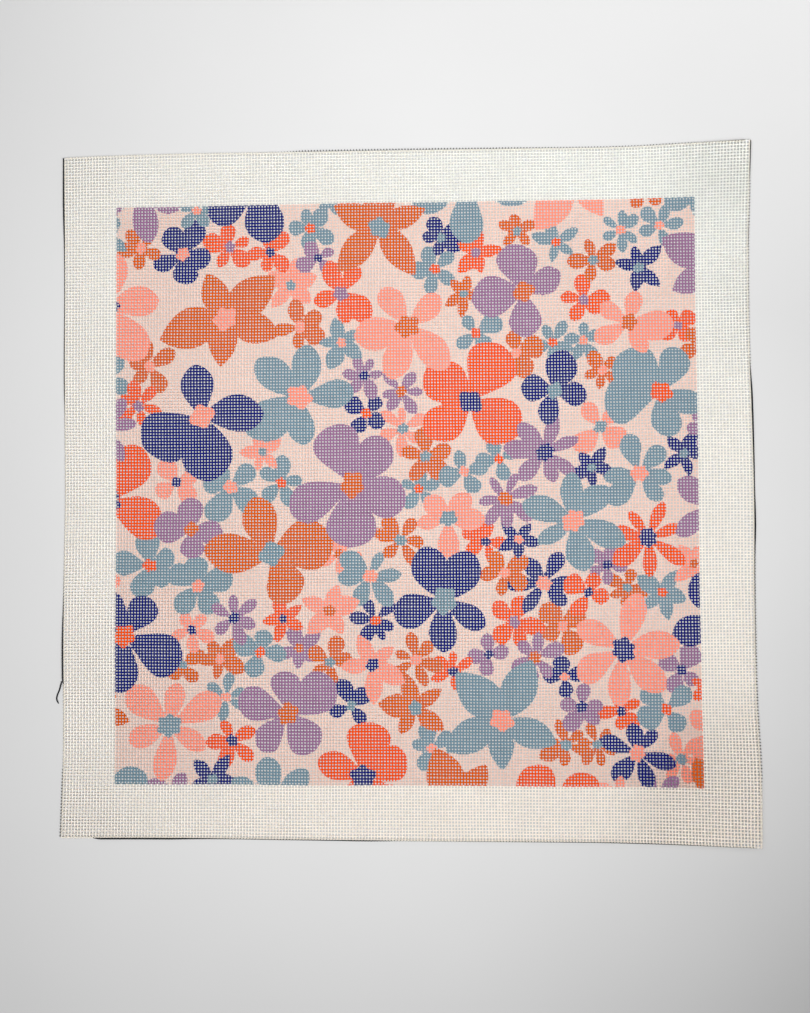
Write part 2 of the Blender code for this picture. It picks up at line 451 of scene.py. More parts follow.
class FlowerPrint:
    """The print: plain flowers scattered by seeded throws, as ink numbers on a fine grid."""

    def __init__(self, settings, pitch):
        self.reach = settings.print_meshes / 2.0
        self.random = random.Random(settings.seed)
        self.pitch = pitch
        count = int(round(2.0 * self.reach * INK_CELLS_PER_MESH))
        self.centres = (np.arange(count) + 0.5) / INK_CELLS_PER_MESH - self.reach
        self.inks = np.full((count, count), GROUND, dtype=np.int8)
        for flower in self.scatter():
            self.draw(flower)

    def uneven(self, most):
        """A seeded share up to so much less or more than nothing."""
        return self.random.uniform(-most, most)

    def scatter(self):
        """Place the flowers of each size in the widest gaps, and draw the largest mostly on top."""
        placed = []
        for diameter, wanted, shapes in FLOWER_SIZES:
            radius = diameter * MM / self.pitch / 2.0
            span = self.reach + radius * OVERHANG
            for k in range(wanted):
                size = radius * (1.0 + self.uneven(SIZE_UNEVENNESS))
                spots = [(self.uneven(span), self.uneven(span)) for _ in range(PLACES_TRIED)]
                x, y = max(spots, key=lambda spot: nearest_rim(*spot, placed))
                ink, middle = self.choose_ink(x, y, placed)
                placed.append((x, y, size, shapes[k % len(shapes)], ink, middle))
        placed = self.eased_apart(placed)
        return sorted(placed, key=lambda flower: flower[2] * (1.0 + self.uneven(PILE_UNEVENNESS)))

    def eased_apart(self, flowers):
        """Push overlapping flowers apart, the smaller one more, until they lie evenly."""
        x = np.array([flower[0] for flower in flowers])
        y = np.array([flower[1] for flower in flowers])
        radius = np.array([flower[2] for flower in flowers])
        reach = radius[:, None] + radius[None, :]
        yields = radius[None, :] / reach
        span = self.reach + radius * OVERHANG
        for _ in range(SPREAD_ROUNDS):
            dx = x[:, None] - x[None, :]
            dy = y[:, None] - y[None, :]
            distance = np.hypot(dx, dy) + np.eye(len(x))
            overlap = np.clip(reach * SPREAD_TOUCH - distance, 0.0, None)
            push = SPREAD_SHARE * yields * overlap / distance
            np.fill_diagonal(push, 0.0)
            x = np.clip(x + (push * dx).sum(axis=1), -span, span)
            y = np.clip(y + (push * dy).sum(axis=1), -span, span)
        return [(x[k], y[k], *flower[2:]) for k, flower in enumerate(flowers)]

    def choose_ink(self, x, y, placed):
        """Of a few inks drawn by their weights, the one whose nearest like flower is farthest."""
        weights = [row[1] for row in FLOWER_INKS]
        drawn = self.random.choices(FLOWER_INKS, weights, k=INKS_DRAWN)

        def distance_to_like(row):
            return nearest_rim(x, y, [other for other in placed if other[4] == row[0]])

        ink, _, middles = max(drawn, key=distance_to_like)
        return ink, self.random.choice(middles)

    def draw(self, flower):
        """Ink one flower's petals and then its middle."""
        x, y, radius, shape, ink, middle_ink = flower
        petals, half_width, widest, bluntness, middle = FLOWER_SHAPES[shape]
        columns = np.flatnonzero(np.abs(self.centres - x) < radius * FLOWER_WINDOW)
        rows = np.flatnonzero(np.abs(self.centres - y) < radius * FLOWER_WINDOW)
        turn = self.random.uniform(0.0, math.tau)
        if not len(columns) or not len(rows):
            return
        window = np.ix_(rows, columns)
        dx = self.centres[columns][None, :] - x
        dy = self.centres[rows][:, None] - y
        covered = np.zeros((len(rows), len(columns)), dtype=bool)
        for k in range(petals):
            length = radius * (1.0 + self.uneven(PETAL_UNEVENNESS))
            heading = turn + math.tau * (k + self.uneven(PETAL_STRAY)) / petals
            wide = half_width * (1.0 + self.uneven(PETAL_UNEVENNESS))
            swell = widest + self.uneven(WIDEST_STRAY)
            bend = self.uneven(PETAL_BEND)
            covered |= petal_mask(dx, dy, heading, length, wide, swell, bluntness, bend)
        angle = np.arctan2(dy, dx)
        lumps = PETAL_LUMPS * np.cos(petals * (angle - turn))
        rim = 1.0 + lumps + WIDE_LUMPS * np.cos(2.0 * angle + turn)
        in_middle = np.hypot(dx, dy) < radius * middle * rim
        self.inks[window] = np.where(covered, ink, self.inks[window])
        self.inks[window] = np.where(in_middle, middle_ink, self.inks[window])

    def ink_at(self, across, up):
        """Ink numbers at places counted in meshes, bare outside the print."""
        across, up = np.broadcast_arrays(across, up)
        column = np.floor((across + self.reach) * INK_CELLS_PER_MESH).astype(int)
        row = np.floor((up + self.reach) * INK_CELLS_PER_MESH).astype(int)
        last = len(self.centres)
        inside = (column >= 0) & (column < last) & (row >= 0) & (row < last)
        found = self.inks[np.clip(row, 0, last - 1), np.clip(column, 0, last - 1)]
        return np.where(inside, found, BARE)


def mesh_object(name, points, quads, smooth=True):
    """A mesh object made from arrays of points and four-cornered faces."""
    mesh = bpy.data.meshes.new(name)
    mesh.vertices.add(len(points))
    mesh.vertices.foreach_set("co", np.ascontiguousarray(points, dtype=np.float32).ravel())
    mesh.loops.add(quads.size)
    mesh.loops.foreach_set("vertex_index", np.ascontiguousarray(quads, dtype=np.int32).ravel())
    mesh.polygons.add(len(quads))
    mesh.polygons.foreach_set("loop_start", np.arange(0, quads.size, 4, dtype=np.int32))
    mesh.polygons.foreach_set("use_smooth", np.full(len(quads), smooth))
    mesh.update(calc_edges=True)
    item = bpy.data.objects.new(name, mesh)
    bpy.context.scene.collection.objects.link(item)
    return item


def tube_arrays(centres, aside, above):
    """Points and faces of closed four-sided tubes that have the same number of rings.

    centres is tubes by rings by 3, and aside and above give each side's offset from them, as
    tubes by rings by sides by 3 when added up.
    """
    ring_points = centres[:, :, None, :] + aside + above
    tubes, rings, sides = ring_points.shape[:3]
    points = ring_points.reshape(-1, 3)
    index = np.arange(tubes * rings * sides).reshape(tubes, rings, sides)
    turned = np.roll(index, -1, axis=2)
    walls = np.stack([index[:, :-1], turned[:, :-1], turned[:, 1:], index[:, 1:]], axis=-1)
    starts = index[:, 0, ::-1].reshape(-1, 4)
    ends = index[:, -1].reshape(-1, 4)
    return points, np.concatenate([walls.reshape(-1, 4), starts, ends])


def warp_and_weft_lines(shape, settings, direction, threads, rng):
    """Centre lines of a group of threads, and their stations counted in meshes."""
    count = settings.meshes_across
    half = shape.half_count
    positions = np.array(threads) - (count - 1) / 2.0
    crossings = np.arange(count) - (count - 1) / 2.0
    stations = np.concatenate([[-half + END_TRIM], crossings, [half - END_TRIM]])
    k, s = np.meshgrid(positions, stations, indexing="ij")
    over = np.where((np.array(threads)[:, None] + np.arange(count)[None, :]) % 2 == 0, 1.0, -1.0)
    if direction == "weft":
        over = -over
    level_end = np.zeros((len(threads), 1))
    rise = np.concatenate([level_end, over, level_end], axis=1)
    pace = rng.uniform(*WANDER_PACES, level_end.shape)
    start = rng.uniform(*WANDER_STARTS, level_end.shape)
    wander = WANDER * np.sin(s * pace + start)
    end_ease = np.clip((half - np.abs(s)) / EDGE_EASE, 0.0, 1.0)
    edge_ease = end_ease * np.clip((half - np.abs(k)) / EDGE_EASE, 0.0, 1.0)
    across, up = (k, s) if direction == "warp" else (s, k)
    drift_across, drift_up = slack(np.random.default_rng(settings.drift_seed), across, up)
    across = across + drift_across * edge_ease + (wander * edge_ease if direction == "warp" else 0.0)
    up = up + drift_up * edge_ease + (wander * edge_ease if direction == "weft" else 0.0)
    x, y, back = shape.place(across, up)
    level = back + settings.canvas_thickness / 2.0 + rise * settings.crimp
    return np.stack([x, y, level], axis=-1), k, s


def ink_on_segments(pattern, direction, k, s, aside):
    """The ink at the start and end of each stretch between crossings, and where it changes."""
    steps = (np.arange(INK_PLACES) + 0.5) / INK_PLACES
    run = s[:, :-1, None] + (s[:, 1:, None] - s[:, :-1, None]) * steps
    offset = np.broadcast_to(k[:, :-1, None] + aside, run.shape)
    found = pattern.ink_at(offset, run) if direction == "warp" else pattern.ink_at(run, offset)
    before = found[..., 0]
    after = found[..., -1]
    same = found == before[..., None]
    still = np.cumprod(same, axis=-1).sum(axis=-1) / INK_PLACES
    return before, after, still


def weave_group(name, shape, settings, pattern, direction, threads, rng, material):
    """One group of neighbouring warp or weft threads, as four-sided tubes that never touch."""
    centres, k, s = warp_and_weft_lines(shape, settings, direction, threads, rng)
    tubes, rings = centres.shape[:2]
    width = settings.thread_width / 2.0 * rng.uniform(*THREAD_WIDTHS, (tubes, 1, 1))
    height = settings.thread_height / 2.0
    sideways = np.array((1.0, 0.0, 0.0)) if direction == "warp" else np.array((0.0, -1.0, 0.0))
    reach = np.array((0.0, 1.0, 0.0, -1.0))
    lift = np.array((1.0, 0.0, -1.0, 0.0))
    aside = (width * reach)[..., None] * sideways
    above = (np.full((tubes, 1, 1), height) * lift)[..., None] * UP
    points, quads = tube_arrays(centres, aside, above)
    item = mesh_object(name, points, quads)
    mesh = item.data

    # Faces 0 and 3 of each ring look up, 1 and 2 look down; faces 0 and 1 lie on its right
    right = INK_ASIDE if direction == "warp" else -INK_ASIDE
    marks = {label: [] for label in INK_MARKS}
    for face in range(THREAD_SIDES):
        first, last, still = ink_on_segments(pattern, direction, k, s, right if face < 2 else -right)
        soaked = np.full(first.shape, 1.0 if face in (0, 3) else settings.print_through)
        for label, values in zip(INK_MARKS, (first, last, still, soaked)):
            marks[label].append(values)
    caps = np.zeros(tubes * 2)
    for label, faces in marks.items():
        layer = mesh.attributes.new(label, "FLOAT", "FACE")
        values = np.concatenate([np.stack(faces, axis=-1).ravel(), caps])
        layer.data.foreach_set("value", values.astype(np.float32))
    thread_maps(mesh, tubes, rings, s[0])
    mesh.materials.append(material)
    return item


def thread_maps(mesh, tubes, rings, stations):
    """Two maps: meshes along and threads across for the finish, and a square one for baking."""
    faces = (tubes, rings - 1, THREAD_SIDES)
    run = np.broadcast_to(stations[None, :-1, None], faces)
    step = np.broadcast_to(stations[None, 1:, None], faces)
    turn = np.broadcast_to(np.arange(THREAD_SIDES) / THREAD_SIDES, faces)
    next_turn = turn + 1 / THREAD_SIDES
    thread = np.broadcast_to(np.arange(tubes)[:, None, None], faces)
    along = np.stack([run, run, step, step], axis=-1)
    around = np.stack([turn, next_turn, next_turn, turn], axis=-1)
    caps = tubes * 2 * THREAD_SIDES
    finish = mesh.uv_layers.new(name="thread_run")
    across = around + thread[..., None]
    flat = np.stack([along.ravel() + rings, across.ravel()], axis=-1).ravel()
    finish.data.foreach_set("uv", np.concatenate([flat, np.zeros(caps * 2)]).astype(np.float32))
    baking = mesh.uv_layers.new(name="OFBake")
    length = stations[-1] - stations[0]
    baked_along = BAKE_START + BAKE_LENGTH * (along - stations[0]) / length
    baked_across = (thread[..., None] + BAKE_SIDE + BAKE_WIDTH * around) / tubes
    ends = np.tile(BAKE_ENDS, tubes * 2)
    flat = np.stack([baked_along.ravel(), baked_across.ravel()], axis=-1).ravel()
    baking.data.foreach_set("uv", np.concatenate([flat, ends]).astype(np.float32))
    finish.active_render = True
    mesh.uv_layers.active = finish


def ring_tube(name, path, radius, sides, reference, material):
    """One round tube along a path of points, with an even turn about the reference direction."""
    run = np.gradient(path, axis=0)
    run /= np.linalg.norm(run, axis=1, keepdims=True)
    aside = np.cross(run, reference)
    aside /= np.linalg.norm(aside, axis=1, keepdims=True)
    above = np.cross(aside, run)
    angles = np.arange(sides) * math.tau / sides
    thickness = np.broadcast_to(np.asarray(radius, dtype=float), (len(path),))[:, None, None]
    side_part = aside[:, None, :] * np.cos(angles)[None, :, None] * thickness
    up_part = above[:, None, :] * np.sin(angles)[None, :, None] * thickness
    rings = path[:, None, :] + side_part + up_part
    points = rings.reshape(-1, 3)
    index = np.arange(len(points)).reshape(len(path), sides)
    turned = np.roll(index, -1, axis=1)
    quads = np.stack([index[:-1], index[1:], turned[1:], turned[:-1]], axis=-1).reshape(-1, 4)
    item = mesh_object(name, points, quads)
    close_ends(item.data, index)
    item.data.materials.append(material)
    return item


def close_ends(mesh, index):
    """Close both ends of a tube with a face each, and turn all faces outwards."""
    shape = bmesh.new()
    shape.from_mesh(mesh)
    shape.verts.ensure_lookup_table()
    for ring in (index[0], index[-1]):
        shape.faces.new([shape.verts[int(k)] for k in ring])
    bmesh.ops.recalc_face_normals(shape, faces=shape.faces)
    for face in shape.faces:
        face.smooth = True
    shape.to_mesh(mesh)
    shape.free()


def add_node(tree, kind, settings=None, inputs=None):
    """Add a node with its settings, and set or link its inputs by name or number."""
    item = tree.nodes.new(kind)
    for name, value in (settings or {}).items():
        setattr(item, name, value)
    for name, value in (inputs or {}).items():
        if isinstance(value, bpy.types.NodeSocket):
            tree.links.new(value, item.inputs[name])
        else:
            item.inputs[name].default_value = value
    return item


def fresh_material(name):
    """An empty node material and its tree."""
    material = bpy.data.materials.new(name)
    material.use_nodes = True
    material.node_tree.nodes.clear()
    return material, material.node_tree


def finish_material(tree, colour, bump, **finish):
    """The shader and output that each thread material ends with."""
    shader = add_node(tree, "ShaderNodeBsdfPrincipled", inputs={
        "Base Color": colour, "Normal": bump, "IOR": 1.5, "Specular IOR Level": 0.25,
        "Sheen Roughness": 0.5, **finish,
    })
    add_node(tree, "ShaderNodeOutputMaterial", inputs={"Surface": shader.outputs["BSDF"]})


def uneven_tone(tree, place, patch, detail, darkest, lightest):
    """A tone that changes from patch to patch of this size, as a share of the full one."""
    noise = add_node(tree, "ShaderNodeTexNoise", inputs={
        "Vector": place, "Scale": 1 / patch, "Detail": detail})
    tone = add_node(tree, "ShaderNodeMapRange", inputs={
        "Value": noise.outputs["Fac"], "From Min": NOISE_RANGE[0], "From Max": NOISE_RANGE[1],
        "To Min": darkest, "To Max": lightest})
    return tone.outputs[0]


def toned(tree, colour, tone):
    """A colour made darker or lighter by a tone."""
    mixed = add_node(tree, "ShaderNodeMix", {"data_type": "RGBA", "blend_type": "MULTIPLY"}, {
        "Factor": 1.0, FIRST_COLOUR: colour, SECOND_COLOUR: tone})
    return mixed.outputs[MIXED_COLOUR]


def canvas_material(canvas, prints):
    """Sized cotton mono canvas, woven and screen printed.

    The threads are hard twisted and stiff with starch, so the eye sees smooth matt cords. Their
    cream turns warmer and lighter towards the lower right, partly their own tint and partly painted
    light. The inks soak through and dry matt, a trifle uneven, with their edges on the threads and
    a little less of them on the back.
    """
    material, tree = fresh_material("sized cotton mono canvas, woven and screen printed")
    place = add_node(tree, "ShaderNodeTexCoord").outputs["Object"]
    axes = add_node(tree, "ShaderNodeSeparateXYZ", inputs={"Vector": place})

    # The cream of the cloth turns warmer and lighter down the panel and most of all at the lower
    # right:
    # partly its own tint, partly painted light
    half = canvas.meshes_across * INCH / canvas.meshes_per_inch / 2.0
    slant = add_node(tree, "ShaderNodeMath", {"operation": "MULTIPLY"}, {
        0: axes.outputs["X"], 1: axes.outputs["Y"]})
    slant = add_node(tree, "ShaderNodeMath", {"operation": "MULTIPLY_ADD"}, {
        0: slant.outputs[0], 1: -TINT_AND_PAINTED_LIGHT_CORNER / half ** 2, 2: TINT_AND_PAINTED_LIGHT_MIDDLE})
    tint_and_painted_light = add_node(tree, "ShaderNodeMath", {"operation": "MULTIPLY_ADD", "use_clamp": True}, {
        0: axes.outputs["Y"], 1: -TINT_AND_PAINTED_LIGHT_DOWN / half, 2: slant.outputs[0]})
    cream = add_node(tree, "ShaderNodeMix", {"data_type": "RGBA"}, {
        "Factor": tint_and_painted_light.outputs[0], FIRST_COLOUR: (*canvas.cool_colour, 1.0),
        SECOND_COLOUR: (*canvas.warm_colour, 1.0)})

    # Slubs and starch: patches a few millimetres long. Painted light: the cloth is painted a little
    # lighter to its right, standing in for the light on that side
    shade = add_node(tree, "ShaderNodeMath", {"operation": "MULTIPLY"}, {
        0: uneven_tone(tree, place, *SLUBS), 1: uneven_tone(tree, place, *STARCH)})
    # Painted light: the tone rises from the middle towards the right rim
    painted_light = add_node(tree, "ShaderNodeMath", {"operation": "MULTIPLY_ADD"}, {
        0: axes.outputs["X"], 1: PAINTED_LIGHT_RIGHT / half, 2: PAINTED_LIGHT_MIDDLE})
    shade = add_node(tree, "ShaderNodeMath", {"operation": "MULTIPLY"}, {
        0: shade.outputs[0], 1: painted_light.outputs[0]})

    # The ink of each stretch of thread, and where along it the next ink begins
    run = add_node(tree, "ShaderNodeUVMap", {"uv_map": "thread_run"})
    along = add_node(tree, "ShaderNodeSeparateXYZ", inputs={"Vector": run.outputs["UV"]})
    marks = {}
    for label in INK_MARKS:
        marks[label] = add_node(tree, "ShaderNodeAttribute", {"attribute_name": label}).outputs["Fac"]
    share = add_node(tree, "ShaderNodeMath", {"operation": "FRACT"}, {0: along.outputs["X"]})
    passed = add_node(tree, "ShaderNodeMath", {"operation": "GREATER_THAN"}, {
        0: share.outputs[0], 1: marks["ink_change"]})
    number = add_node(tree, "ShaderNodeMix", {"data_type": "FLOAT"}, {
        "Factor": passed.outputs[0], 2: marks["ink_before"], 3: marks["ink_after"]})
    steps = len(INK_NAMES)
    level = add_node(tree, "ShaderNodeMath", {"operation": "DIVIDE"}, {
        0: number.outputs[0], 1: float(steps)})
    inks = add_node(tree, "ShaderNodeValToRGB", inputs={"Fac": level.outputs[0]})
    ramp = inks.color_ramp
    ramp.interpolation = "CONSTANT"
    while len(ramp.elements) < steps:
        ramp.elements.new(0.5)
    for k in range(steps):
        ramp.elements[k].position = max(0.0, (k - 0.5) / steps)
    for k, name in enumerate(INK_NAMES):
        ramp.elements[k].color = (*getattr(prints, name), 1.0)
    inked = add_node(tree, "ShaderNodeMath", {"operation": "GREATER_THAN"}, {
        0: number.outputs[0], 1: 0.5})
    cover = add_node(tree, "ShaderNodeMath", {"operation": "MULTIPLY"}, {
        0: inked.outputs[0], 1: marks["ink_depth"]})
    colour = add_node(tree, "ShaderNodeMix", {"data_type": "RGBA"}, {
        "Factor": cover.outputs[0], FIRST_COLOUR: cream.outputs[MIXED_COLOUR],
        SECOND_COLOUR: inks.outputs["Color"]})
    colour = toned(tree, colour.outputs[MIXED_COLOUR], shade.outputs[0])

    # The twist of the plies, about one turn a millimetre, as a slanted ribbing
    twist = add_node(tree, "ShaderNodeMath", {"operation": "MULTIPLY_ADD"}, {
        0: along.outputs["X"], 1: TWIST_RIBS, 2: along.outputs["Y"]})
    rib = add_node(tree, "ShaderNodeMath", {"operation": "PINGPONG"}, {0: twist.outputs[0], 1: 0.5})
    hair = add_node(tree, "ShaderNodeTexNoise", inputs={
        "Vector": place, "Scale": 1 / HAIR_SIZE, "Detail": 2.0})
    relief = add_node(tree, "ShaderNodeMath", {"operation": "MULTIPLY_ADD"}, {
        0: hair.outputs["Fac"], 1: HAIR_SHARE, 2: rib.outputs[0]})
    bump = add_node(tree, "ShaderNodeBump", inputs={
        "Height": relief.outputs[0], "Strength": 0.2, "Distance": THREAD_RELIEF})
    finish_material(tree, colour, bump.outputs["Normal"], **{
        "Roughness": 0.85, "Specular IOR Level": 0.1, "Subsurface Weight": canvas.glow,
        "Subsurface Radius": (1.0, 0.8, 0.6), "Subsurface Scale": canvas.thread_height})
    return material


def thread_material(name, colour, spread, roughness, sheen):
    """Spun polyester overlock thread: plied, faintly glossy, with the plies' slanted ribbing."""
    material, tree = fresh_material(name)
    place = add_node(tree, "ShaderNodeTexCoord").outputs["Object"]
    tone = uneven_tone(tree, place, DYE_PATCH, DYE_DETAIL, 1.0 - spread, 1.0 + spread)
    slanted = add_node(tree, "ShaderNodeMapping", inputs={"Vector": place, "Rotation": PLY_SLANT})
    rib = add_node(tree, "ShaderNodeTexWave", {"wave_type": "BANDS", "bands_direction": "DIAGONAL"}, {
        "Vector": slanted.outputs[0], "Scale": 0.5 / PLY_TURN, "Distortion": 1.0})
    bump = add_node(tree, "ShaderNodeBump", inputs={
        "Height": rib.outputs["Fac"], "Strength": 0.4, "Distance": THREAD_RELIEF})
    finish_material(tree, toned(tree, (*colour, 1.0), tone), bump.outputs["Normal"], **{
        "Roughness": roughness, "Sheen Weight": sheen})
    return material


def floor_material(stage):
    """Plain matt painted board: even, with a faint cloudiness."""
    material, tree = fresh_material("matt painted board")
    place = add_node(tree, "ShaderNodeTexCoord").outputs["Object"]
    colour = toned(tree, (*stage.floor_colour, 1.0), uneven_tone(tree, place, *CLOUDINESS))
    shader = add_node(tree, "ShaderNodeBsdfPrincipled", inputs={
        "Base Color": colour, "Roughness": 0.9, "Specular IOR Level": 0.2})
    add_node(tree, "ShaderNodeOutputMaterial", inputs={"Surface": shader.outputs["BSDF"]})
    return material


def colour_property(name, hex_text, text):
    """A colour that a user can change, set from a hex value."""
    return bpy.props.FloatVectorProperty(
        name=name, description=text, subtype="COLOR", size=3, min=0.0, max=1.0,
        default=linear_colour(hex_text))


def length_property(name, metres, text):
    """A length that a user can change."""
    return bpy.props.FloatProperty(name=name, description=text, default=metres, min=0.0, unit="LENGTH",
                                   precision=5)


class CanvasSettings(bpy.types.PropertyGroup):
    """The woven cloth."""

    meshes_per_inch: bpy.props.FloatProperty(
        name="Meshes per inch", description="Threads to the inch of the mono canvas", default=12.0,
        min=5.0)
    meshes_across: bpy.props.IntProperty(
        name="Meshes across", description="Threads along each side of the panel", default=225, min=20)
    canvas_thickness: length_property("Thickness", 1.2 * MM, "Back to face of the cloth")
    thread_width: length_property("Thread width", 1.02 * MM, "Width of one pressed thread")
    thread_height: length_property("Thread height", 0.56 * MM, "Height of one pressed thread")
    crimp: length_property("Crimp", 0.30 * MM, "How far a thread rises and dips at each crossing")
    print_through: bpy.props.FloatProperty(
        name="Print through", description="How much ink shows on the back of a thread", default=0.9,
        min=0.0, max=1.0, subtype="FACTOR")
    glow: bpy.props.FloatProperty(
        name="Glow", description="How much light soaks through the cotton threads", default=0.25,
        min=0.0, max=1.0, subtype="FACTOR")
    drift_seed: bpy.props.IntProperty(
        name="Drift seed", description="Seed of the threads' drift", default=11)
    # The warm cream is also lighter: partly the cloth's tint, partly painted light
    cool_colour: colour_property("Cool canvas", CANVAS_COOL, "Cream of the coolest cloth")
    warm_colour: colour_property("Warm canvas", CANVAS_WARM, "Cream of the warmest cloth, lighter with painted light")


class PrintSettings(bpy.types.PropertyGroup):
    """The printed flowers and their inks."""

    print_meshes: bpy.props.FloatProperty(
        name="Printed meshes", description="Meshes along each side of the print", default=189.8,
        min=10.0)
    seed: bpy.props.IntProperty(
        name="Scatter seed", description="Seed of the flowers' places", default=351)
    bare: colour_property("Bare", INK_HEX[BARE], "No ink")
    ground: colour_property("Ground", INK_HEX[GROUND], "Ink between the flowers")
    coral: colour_property("Coral", INK_HEX[CORAL], "Coral pink ink")
    orange: colour_property("Orange", INK_HEX[ORANGE], "Burnt orange ink")
    vermilion: colour_property("Vermilion", INK_HEX[VERMILION], "Red orange ink")
    lilac: colour_property("Lilac", INK_HEX[LILAC], "Greyed lilac ink")
    blue_grey: colour_property("Blue grey", INK_HEX[BLUE_GREY], "Greyed blue ink")
    navy: colour_property("Navy", INK_HEX[NAVY], "Deep blue ink")


class OverlockSettings(bpy.types.PropertyGroup):
    """The stitching along the edges."""

    depth: length_property("Stitch depth", 1.9 * MM, "Needle line to rim")
    cream_thickness: length_property("Cream thread", 0.46 * MM, "Thickness of the upper looper thread")
    navy_thickness: length_property("Dark thread", 0.62 * MM, "Thickness of the lower looper thread")
    cord_thickness: length_property("Rim cord", 1.15 * MM, "Thickness of the dark cord along the rim")
    cream: colour_property("Cream thread colour", "#ece6d9", "Upper looper thread")
    navy: colour_property("Dark thread colour", "#0e1118", "Lower looper thread")


class StageSettings(bpy.types.PropertyGroup):
    """The floor, the light and the camera."""

    floor_colour: colour_property("Floor", "#cccccc", "Plain pale floor")
    light_level: bpy.props.FloatProperty(
        name="Light level", description="Brightness of all the soft lights together", default=1.0,
        min=0.0)
    room_strength: bpy.props.FloatProperty(
        name="Room", description="Strength of the even light from all round", default=0.247, min=0.0)
    focal_length: bpy.props.FloatProperty(
        name="Focal length", description="Camera lens for a 36 mm wide sensor", default=38.2, min=10.0,
        subtype="DISTANCE_CAMERA")


def ready_piece(item, slot, *nodes):
    """Fasten a piece to the frame and hide the solids that it stands for."""
    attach(item, BODY)
    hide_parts(*nodes)


class NEEDLEPOINT_OT_weave_canvas(bpy.types.Operator):
    """Weave the canvas thread by thread and print it"""

    bl_idname = "needlepoint.weave_canvas"
    bl_label = "Weave canvas"

    def execute(self, context):
        canvas = context.scene.needlepoint_canvas
        prints = context.scene.needlepoint_print
        shape = PanelShape(canvas)
        pattern = FlowerPrint(prints, shape.pitch)
        material = canvas_material(canvas, prints)
        rng = np.random.default_rng(canvas.drift_seed)
        share = canvas.meshes_across // THREAD_GROUPS
        for direction in ("warp", "weft"):
            for group in range(THREAD_GROUPS):
                last = canvas.meshes_across if group == THREAD_GROUPS - 1 else (group + 1) * share
                threads = list(range(group * share, last))
                item = weave_group("canvas_%s_%d" % (direction, group + 1), shape, canvas, pattern,
                                   direction, threads, rng, material)
                ready_piece(item, CANVAS_SLOT, "canvas")
        return {"FINISHED"}


def stitch_path(points, outward, depth, levels):
    """Points of a looping thread, at depths inwards from the rim and levels above the back."""
    path = points - outward * depth[:, None]
    path[:, 2] += levels
    return path


def overlock_side(side, shape, canvas, overlock, cream_material, navy_material):
    """The three threads that bind one edge: cream loops, dark loops and the dark cord."""
    stitches = canvas.meshes_across - (1 if side in ("left", "right") else 4)
    reach = stitches / canvas.meshes_across
    top = canvas.canvas_thickness
    along = np.linspace(-reach, reach, stitches * STITCH_POINTS + 1)
    points, outward = shape.rim(side, along)
    phase = np.arange(len(along)) / STITCH_POINTS % 1.0
    wave = (1.0 - np.cos(phase * math.tau)) / 2.0
    head = wave ** HEAD_POWER
    cord_show = np.clip(smooth_values(LOOPER_SHOWS[side], along, 1), 0.0, 1.0)
    head_show = np.clip(smooth_values(LOOPER_SHOWS[side], along, 2), 0.0, 1.0)

    # Cream loops go from the needle line up over the rim and back
    cream_radius = overlock.cream_thickness / 2.0
    depth = overlock.depth - (overlock.depth - cream_radius) * wave
    level = top + cream_radius * CREAM_LIFT - (top * CREAM_DIP) * head
    path = stitch_path(points, outward, depth, level)
    cream = ring_tube("overlock_%s_cream" % side, path, cream_radius, LOOP_SIDES, UP, cream_material)

    # Dark loops run under the cloth, and their heads come over the rim where they show
    navy_radius = overlock.navy_thickness / 2.0
    inner = overlock.depth * DARK_START
    outer = HIDDEN_HEAD + (SHOWN_HEAD - HIDDEN_HEAD) * head_show
    depth = inner - (inner - outer) * head
    risen = (top * DARK_RISE + navy_radius * DARK_OVER) * head_show
    level = navy_radius + (top * DARK_LEVEL + risen) * head
    path = stitch_path(points, outward, depth, level)
    dark = ring_tube("overlock_%s_dark" % side, path, navy_radius, LOOP_SIDES, UP, navy_material)

    # The dark cord lies on the rim where it shows, and elsewhere it is drawn tight under the cloth
    shows = cord_show[::2]
    radius = overlock.cord_thickness / 2.0 * (TIGHT_CORD + (1.0 - TIGHT_CORD) * shows)
    sway = np.cos(phase[::2] * math.tau) * CORD_SWAY
    depth = radius / 2.0 + (1.0 - shows) * HIDDEN_DEPTH + sway
    level = radius + shows * (top + cream_radius - radius) + sway / 2.0
    path = stitch_path(points[::2], outward[::2], depth, level)
    cord = ring_tube("overlock_%s_cord" % side, path, radius, CORD_SIDES, UP, navy_material)
    for item in (cream, dark, cord):
        ready_piece(item, OVERLOCK_SLOT, "overlock_" + side)


class NEEDLEPOINT_OT_overlock_edges(bpy.types.Operator):
    """Bind the four cut edges with overlock stitches"""

    bl_idname = "needlepoint.overlock_edges"
    bl_label = "Overlock edges"

    def execute(self, context):
        canvas = context.scene.needlepoint_canvas
        overlock = context.scene.needlepoint_overlock
        shape = PanelShape(canvas)
        cream = thread_material("spun polyester thread, cream", overlock.cream,
                                spread=0.05, roughness=0.7, sheen=0.1)
        navy = thread_material("spun polyester thread, navy black", overlock.navy,
                               spread=0.25, roughness=0.6, sheen=0.05)
        for side in SIDES:
            overlock_side(side, shape, canvas, overlock, cream, navy)
        return {"FINISHED"}


